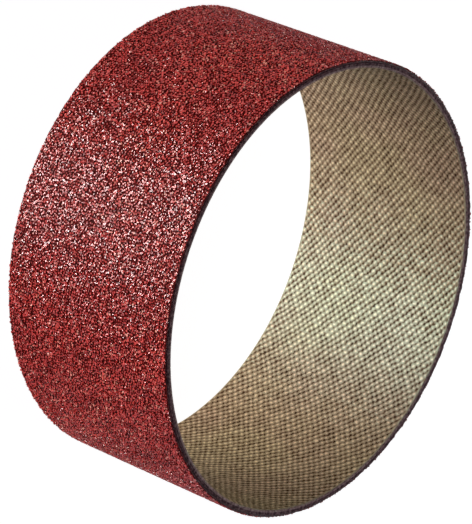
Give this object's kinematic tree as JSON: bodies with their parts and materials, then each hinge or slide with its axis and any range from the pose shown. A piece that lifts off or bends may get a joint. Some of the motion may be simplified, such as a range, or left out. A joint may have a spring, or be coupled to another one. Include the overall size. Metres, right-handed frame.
{
  "type": "abrasive spiral band",
  "caption": "Short open loop of coated abrasive cloth, red grain outside and bare woven cloth inside, with spiral butt seams; it slips over a rubber drum to sand curves",
  "frame": {"origin": "centre of the lower rim, on the surface that the band stands on", "axes": "+Z is the band's axis, across its width; +X is the long way across the slightly oval loop"},
  "size_m": [0.0546, 0.0514, 0.025],
  "materials": {
    "abrasive_coat": "sharp red-brown grain set in dark red resin, rough, with small pale glints",
    "woven_cloth": "plain-woven cotton, khaki brown and matt, bare in the bore and grey-brown where the rims are cut"
  },
  "bodies": {
    "root": {"abrasive_band": "abrasive_coat"}
  },
  "joints": []
}
